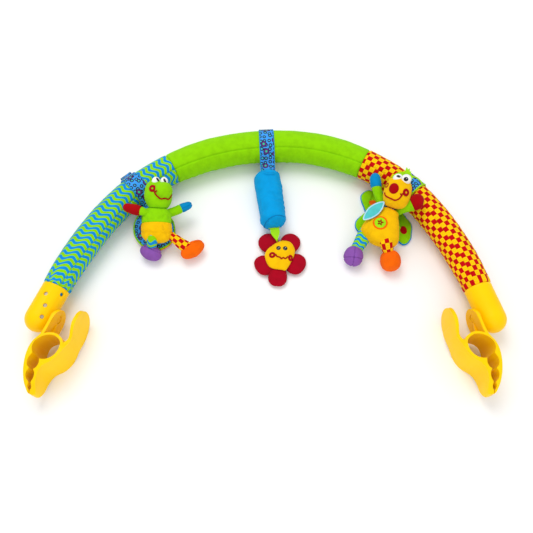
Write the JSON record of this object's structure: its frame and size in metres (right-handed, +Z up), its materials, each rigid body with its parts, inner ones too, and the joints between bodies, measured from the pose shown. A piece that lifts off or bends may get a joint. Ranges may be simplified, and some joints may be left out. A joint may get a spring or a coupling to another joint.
{
  "type": "stroller arch toy",
  "caption": "Padded bowed bar with spring clamps on its ends and soft toys hung from straps: a turtle, a chime pouch with a flower, and a butterfly.",
  "frame": {"origin": "middle of the whole part in plan, on the table it lies on", "axes": "+X to the right along the span, +Y away from the open side towards the top of the bow, +Z up from the table"},
  "size_m": [0.5242, 0.3396, 0.0643],
  "materials": {
    "orange_plush": "short plush",
    "yellow_plush": "short plush",
    "lime_fabric": "woven",
    "white_plush": "short plush",
    "purple_plush": "short plush",
    "blue_plush": "short plush",
    "wave_fabric": "woven print",
    "red_plush": "short plush",
    "check_fabric": "woven print",
    "ring_fabric": "woven print",
    "teal_tag": "smooth",
    "chime_metal": "polished",
    "core_plastic": "extruded",
    "foam_padding": "foam",
    "yellow_plastic": "moulded"
  },
  "bodies": {
    "butterfly": {"butterfly_badge": "orange_plush", "butterfly_head": "yellow_plush", "butterfly_left_eye": "white_plush", "butterfly_nose": "red_plush", "butterfly_right_eye": "white_plush", "butterfly_strap": "ring_fabric", "butterfly_tag": "teal_tag", "butterfly_torso": "yellow_plush", "butterfly_tuft": "lime_fabric"},
    "butterfly_left_arm_limb": {"butterfly_left_arm": "lime_fabric", "butterfly_left_hand": "blue_plush"},
    "butterfly_left_leg_limb": {"butterfly_left_foot": "purple_plush", "butterfly_left_leg": "wave_fabric"},
    "butterfly_left_wing": {"butterfly_left_wing": "lime_fabric"},
    "butterfly_right_arm_limb": {"butterfly_right_arm": "lime_fabric", "butterfly_right_hand": "red_plush"},
    "butterfly_right_leg_limb": {"butterfly_right_foot": "orange_plush", "butterfly_right_leg": "check_fabric"},
    "butterfly_right_wing": {"butterfly_right_wing": "lime_fabric"},
    "chime_pouch": {"chime_pouch": "blue_plush", "chime_tube": "chime_metal", "pouch_end": "blue_plush"},
    "arch": {"core_rod": "core_plastic", "foam_padding": "foam_padding", "left_socket": "yellow_plastic", "left_swivel_pin": "yellow_plastic", "right_socket": "yellow_plastic", "right_swivel_pin": "yellow_plastic", "sleeve_checks": "check_fabric", "sleeve_plain": "lime_fabric", "sleeve_waves": "wave_fabric"},
    "flower": {"flower_face": "yellow_plush", "flower_petal_1": "red_plush", "flower_petal_2": "red_plush", "flower_petal_3": "red_plush", "flower_petal_4": "red_plush", "flower_petal_5": "red_plush"},
    "ribbon": {"flower_ribbon": "lime_fabric"},
    "left_clamp": {"left_clamp_frame": "yellow_plastic"},
    "left_squeeze_lever": {"left_clamp_lever": "yellow_plastic"},
    "pendant": {"pendant_strap": "ring_fabric"},
    "right_clamp": {"right_clamp_frame": "yellow_plastic"},
    "right_squeeze_lever": {"right_clamp_lever": "yellow_plastic"},
    "turtle": {"turtle_belly": "yellow_plush", "turtle_head": "lime_fabric", "turtle_left_eye": "white_plush", "turtle_right_eye": "white_plush", "turtle_shell": "ring_fabric", "turtle_strap": "ring_fabric", "turtle_torso": "lime_fabric"},
    "turtle_left_arm_limb": {"turtle_left_arm": "lime_fabric", "turtle_left_hand": "red_plush"},
    "turtle_left_leg_limb": {"turtle_left_foot": "purple_plush", "turtle_left_leg": "wave_fabric"},
    "turtle_right_arm_limb": {"turtle_right_arm": "lime_fabric", "turtle_right_hand": "blue_plush"},
    "turtle_right_leg_limb": {"turtle_right_foot": "orange_plush", "turtle_right_leg": "check_fabric"}
  },
  "joints": [
    {"name": "butterfly_left_arm_flap", "type": "hinge", "parent": "butterfly", "child": "butterfly_left_arm_limb", "pos_m": [0.13483, 0.0542, 0.02877], "axis": [0.7389, -0.1081, 0.6651], "range_deg": [0, 45]},
    {"name": "butterfly_left_leg_flap", "type": "hinge", "parent": "butterfly", "child": "butterfly_left_leg_limb", "pos_m": [0.11615, 0.00882, 0.01522], "axis": [-0.6642, 0.6934, 0.2793], "range_deg": [0, 45]},
    {"name": "butterfly_left_wing_flap", "type": "hinge", "parent": "butterfly", "child": "butterfly_left_wing", "pos_m": [0.1417, 0.03736, 0.01646], "axis": [0.3702, 0.7177, 0.5898], "range_deg": [-20, 12]},
    {"name": "butterfly_right_arm_flap", "type": "hinge", "parent": "butterfly", "child": "butterfly_right_arm_limb", "pos_m": [0.16139, 0.03831, 0.0287], "axis": [0.5931, 0.3053, -0.745], "range_deg": [0, 45]},
    {"name": "butterfly_right_leg_flap", "type": "hinge", "parent": "butterfly", "child": "butterfly_right_leg_limb", "pos_m": [0.14139, -0.00323, 0.02076], "axis": [-0.9204, -0.3021, -0.2482], "range_deg": [0, 45]},
    {"name": "butterfly_right_wing_flap", "type": "hinge", "parent": "butterfly", "child": "butterfly_right_wing", "pos_m": [0.14348, 0.03644, 0.01646], "axis": [-0.3702, -0.7177, -0.5898], "range_deg": [-20, 12]},
    {"name": "butterfly_swing", "type": "hinge", "parent": "arch", "child": "butterfly", "pos_m": [0.1721, 0.08144, 0.0221], "axis": [-0.6735, 0.7392, 0], "range_deg": [-45, 60]},
    {"name": "chime_pouch_swing", "type": "hinge", "parent": "pendant", "child": "chime_pouch", "pos_m": [0.00143, 0.1118, 0.02203], "axis": [-0.993, -0.1184, 0], "range_deg": [-20, 45]},
    {"name": "flower_swing", "type": "hinge", "parent": "ribbon", "child": "flower", "pos_m": [0.01399, 0.01227, 0.01283], "axis": [-0.993, -0.1184, 0], "range_deg": [0, 45]},
    {"name": "left_clamp_squeeze", "type": "hinge", "parent": "left_clamp", "child": "left_squeeze_lever", "pos_m": [-0.22174, -0.10833, 0.0221], "axis": [0, 0, 1], "range_deg": [0, 15], "stiffness_Nm_per_rad": 0.6, "springref_deg": -9.74},
    {"name": "left_clamp_swivel", "type": "hinge", "parent": "arch", "child": "left_clamp", "pos_m": [-0.22783, -0.08568, 0.0221], "axis": [0.94, -0.3413, 0], "range_deg": [-90, 90]},
    {"name": "pendant_swing", "type": "hinge", "parent": "arch", "child": "pendant", "pos_m": [0.00102, 0.14778, 0.0221], "axis": [-0.9989, -0.0475, 0], "range_deg": [-45, 60]},
    {"name": "ribbon_swing", "type": "hinge", "parent": "chime_pouch", "child": "ribbon", "pos_m": [0.01038, 0.03363, 0.01319], "axis": [-0.993, -0.1184, 0], "range_deg": [0, 45]},
    {"name": "right_clamp_squeeze", "type": "hinge", "parent": "right_clamp", "child": "right_squeeze_lever", "pos_m": [0.21966, -0.10669, 0.0221], "axis": [0, 0, -1], "range_deg": [0, 15], "stiffness_Nm_per_rad": 0.6, "springref_deg": -9.74},
    {"name": "right_clamp_swivel", "type": "hinge", "parent": "arch", "child": "right_clamp", "pos_m": [0.2278, -0.08469, 0.0221], "axis": [-0.9673, -0.2538, 0], "range_deg": [-90, 90]},
    {"name": "turtle_left_arm_flap", "type": "hinge", "parent": "turtle", "child": "turtle_left_arm_limb", "pos_m": [-0.14392, 0.04013, 0.04362], "axis": [0.3145, 0.9298, 0.1913], "range_deg": [0, 45]},
    {"name": "turtle_left_leg_flap", "type": "hinge", "parent": "turtle", "child": "turtle_left_leg_limb", "pos_m": [-0.13138, 0.00849, 0.0374], "axis": [-0.9724, 0.2151, 0.0908], "range_deg": [0, 45]},
    {"name": "turtle_right_arm_flap", "type": "hinge", "parent": "turtle", "child": "turtle_right_arm_limb", "pos_m": [-0.10798, 0.04885, 0.02607], "axis": [0.5739, -0.8126, -0.1017], "range_deg": [0, 45]},
    {"name": "turtle_right_leg_flap", "type": "hinge", "parent": "turtle", "child": "turtle_right_leg_limb", "pos_m": [-0.10704, 0.01284, 0.021], "axis": [-0.4261, -0.8553, -0.2947], "range_deg": [0, 45]},
    {"name": "turtle_swing", "type": "hinge", "parent": "arch", "child": "turtle", "pos_m": [-0.15673, 0.08253, 0.0221], "axis": [-0.7202, -0.6938, 0], "range_deg": [-45, 60]}
  ]
}
